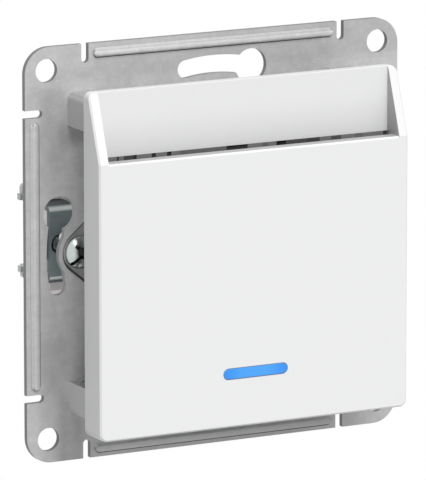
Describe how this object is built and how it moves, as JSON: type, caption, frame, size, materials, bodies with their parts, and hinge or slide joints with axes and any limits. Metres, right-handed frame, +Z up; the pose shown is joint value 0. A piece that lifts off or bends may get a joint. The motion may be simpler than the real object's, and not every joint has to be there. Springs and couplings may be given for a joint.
{
  "type": "key card switch",
  "caption": "Flush-mounted hotel key card switch: white card-slot cover with a blue indicator window on a square steel support plate, switch base with spreading claws behind.",
  "frame": {"origin": "centre of the support plate's rear face, on the wall surface", "axes": "+X to the right seen from the front, +Z up, +Y into the wall"},
  "size_m": [0.071, 0.0405, 0.071],
  "materials": {
    "galvanised_steel": "matte",
    "white_plastic": "satin",
    "grey_plastic": "satin",
    "base_plastic": "matte",
    "natural_plastic": "satin",
    "bright_steel": "polished",
    "saddle_steel": "matte",
    "claw_steel": "satin",
    "spring_steel": "satin",
    "brass": "satin",
    "contact_silver": "polished",
    "blue_lens": "gloss",
    "clear_plastic": "gloss",
    "led_resin": "gloss",
    "board_laminate": "satin",
    "resistor_ceramic": "satin"
  },
  "bodies": {
    "fixed_assembly": {"mounting_plate": "galvanised_steel", "card_cover": "white_plastic", "cover_carrier": "white_plastic", "card_guide": "grey_plastic", "lever_pin": "bright_steel", "plunger_spring": "spring_steel", "base_cap": "base_plastic", "switch_base": "base_plastic", "rocker_pin": "bright_steel", "common_contact": "brass", "rest_contact": "brass", "rest_rivet": "contact_silver", "work_contact": "brass", "work_rivet": "contact_silver", "screw_saddle_right": "saddle_steel", "screw_saddle_left": "saddle_steel", "indicator_lens": "blue_lens", "light_guide": "clear_plastic", "led": "led_resin", "indicator_board": "board_laminate", "resistor": "resistor_ceramic", "indicator_pin_right": "brass", "indicator_pin_left": "brass", "carrier_screw_1": "bright_steel", "carrier_screw_2": "bright_steel"},
    "card_lever": {"card_lever": "natural_plastic"},
    "plunger": {"plunger": "natural_plastic"},
    "contact_rocker": {"contact_rocker": "brass", "rocker_rivet_front": "contact_silver", "rocker_rivet_rear": "contact_silver"},
    "terminal_screw_1": {"terminal_screw_1": "bright_steel"},
    "terminal_cage_1": {"terminal_cage_1": "bright_steel"},
    "terminal_screw_2": {"terminal_screw_2": "bright_steel"},
    "terminal_cage_2": {"terminal_cage_2": "bright_steel"},
    "terminal_screw_3": {"terminal_screw_3": "bright_steel"},
    "terminal_cage_3": {"terminal_cage_3": "bright_steel"},
    "claw_screw_right": {"claw_screw_right": "bright_steel"},
    "claw_nut_right": {"claw_nut_right": "claw_steel"},
    "claw_right": {"claw_right": "claw_steel"},
    "claw_screw_left": {"claw_screw_left": "bright_steel"},
    "claw_nut_left": {"claw_nut_left": "claw_steel"},
    "claw_left": {"claw_left": "claw_steel"}
  },
  "joints": [
    {"name": "card_lever_swing", "type": "hinge", "parent": "fixed_assembly", "child": "card_lever", "pos_m": [0, -0.0075, 0.009], "axis": [1, 0, 0], "range_deg": [0, 6.02]},
    {"name": "plunger_slide", "type": "slide", "parent": "fixed_assembly", "child": "plunger", "axis": [0, 1, 0], "range_m": [0, 0.00136], "stiffness_N_per_m": 20, "springref_m": -0.025, "deforming": ["plunger_spring"]},
    {"name": "contact_swing", "type": "hinge", "parent": "fixed_assembly", "child": "contact_rocker", "pos_m": [0, 0.009, 0.006], "axis": [1, 0, 0], "range_deg": [0, 7.82]},
    {"name": "terminal_screw_1_turn", "type": "hinge", "parent": "fixed_assembly", "child": "terminal_screw_1", "pos_m": [0, 0.0183, 0.0175], "axis": [0, 0, -1], "range_deg": [0, 1800.5]},
    {"name": "terminal_cage_1_lift", "type": "slide", "parent": "fixed_assembly", "child": "terminal_cage_1", "axis": [0, 0, 1], "range_m": [0, 0.003]},
    {"name": "terminal_screw_2_turn", "type": "hinge", "parent": "fixed_assembly", "child": "terminal_screw_2", "pos_m": [0.012, 0.0183, -0.0175], "axis": [0, 0, 1], "range_deg": [0, 1800.5]},
    {"name": "terminal_cage_2_lift", "type": "slide", "parent": "fixed_assembly", "child": "terminal_cage_2", "axis": [0, 0, -1], "range_m": [0, 0.003]},
    {"name": "terminal_screw_3_turn", "type": "hinge", "parent": "fixed_assembly", "child": "terminal_screw_3", "pos_m": [-0.012, 0.0183, -0.0175], "axis": [0, 0, 1], "range_deg": [0, 1800.5]},
    {"name": "terminal_cage_3_lift", "type": "slide", "parent": "fixed_assembly", "child": "terminal_cage_3", "axis": [0, 0, -1], "range_m": [0, 0.003]},
    {"name": "claw_screw_right_turn", "type": "hinge", "parent": "fixed_assembly", "child": "claw_screw_right", "pos_m": [0.025, 0, 0], "axis": [0, 1, 0], "range_deg": [0, 2160.5]},
    {"name": "claw_nut_right_slide", "type": "slide", "parent": "fixed_assembly", "child": "claw_nut_right", "axis": [0, -1, 0], "range_m": [0, 0.003]},
    {"name": "claw_right_spread", "type": "hinge", "parent": "claw_nut_right", "child": "claw_right", "pos_m": [0.025, 0.0081, 0], "axis": [0, 0, -1], "range_deg": [0, 8.01]},
    {"name": "claw_screw_left_turn", "type": "hinge", "parent": "fixed_assembly", "child": "claw_screw_left", "pos_m": [-0.025, 0, 0], "axis": [0, 1, 0], "range_deg": [0, 2160.5]},
    {"name": "claw_nut_left_slide", "type": "slide", "parent": "fixed_assembly", "child": "claw_nut_left", "axis": [0, -1, 0], "range_m": [0, 0.003]},
    {"name": "claw_left_spread", "type": "hinge", "parent": "claw_nut_left", "child": "claw_left", "pos_m": [-0.025, 0.0081, 0], "axis": [0, 0, 1], "range_deg": [0, 8.01]}
  ],
  "couplings": [
    {"joint": "card_lever_swing", "follows": "plunger_slide", "rad_per_m": 76.923},
    {"joint": "contact_swing", "follows": "plunger_slide", "rad_per_m": 100},
    {"joint": "terminal_screw_1_turn", "follows": "terminal_cage_1_lift", "rad_per_m": 10472},
    {"joint": "terminal_screw_2_turn", "follows": "terminal_cage_2_lift", "rad_per_m": 10472},
    {"joint": "terminal_screw_3_turn", "follows": "terminal_cage_3_lift", "rad_per_m": 10472},
    {"joint": "claw_screw_right_turn", "follows": "claw_nut_right_slide", "rad_per_m": 12566},
    {"joint": "claw_right_spread", "follows": "claw_nut_right_slide", "rad_per_m": 46.542},
    {"joint": "claw_screw_left_turn", "follows": "claw_nut_left_slide", "rad_per_m": 12566},
    {"joint": "claw_left_spread", "follows": "claw_nut_left_slide", "rad_per_m": 46.542}
  ]
}
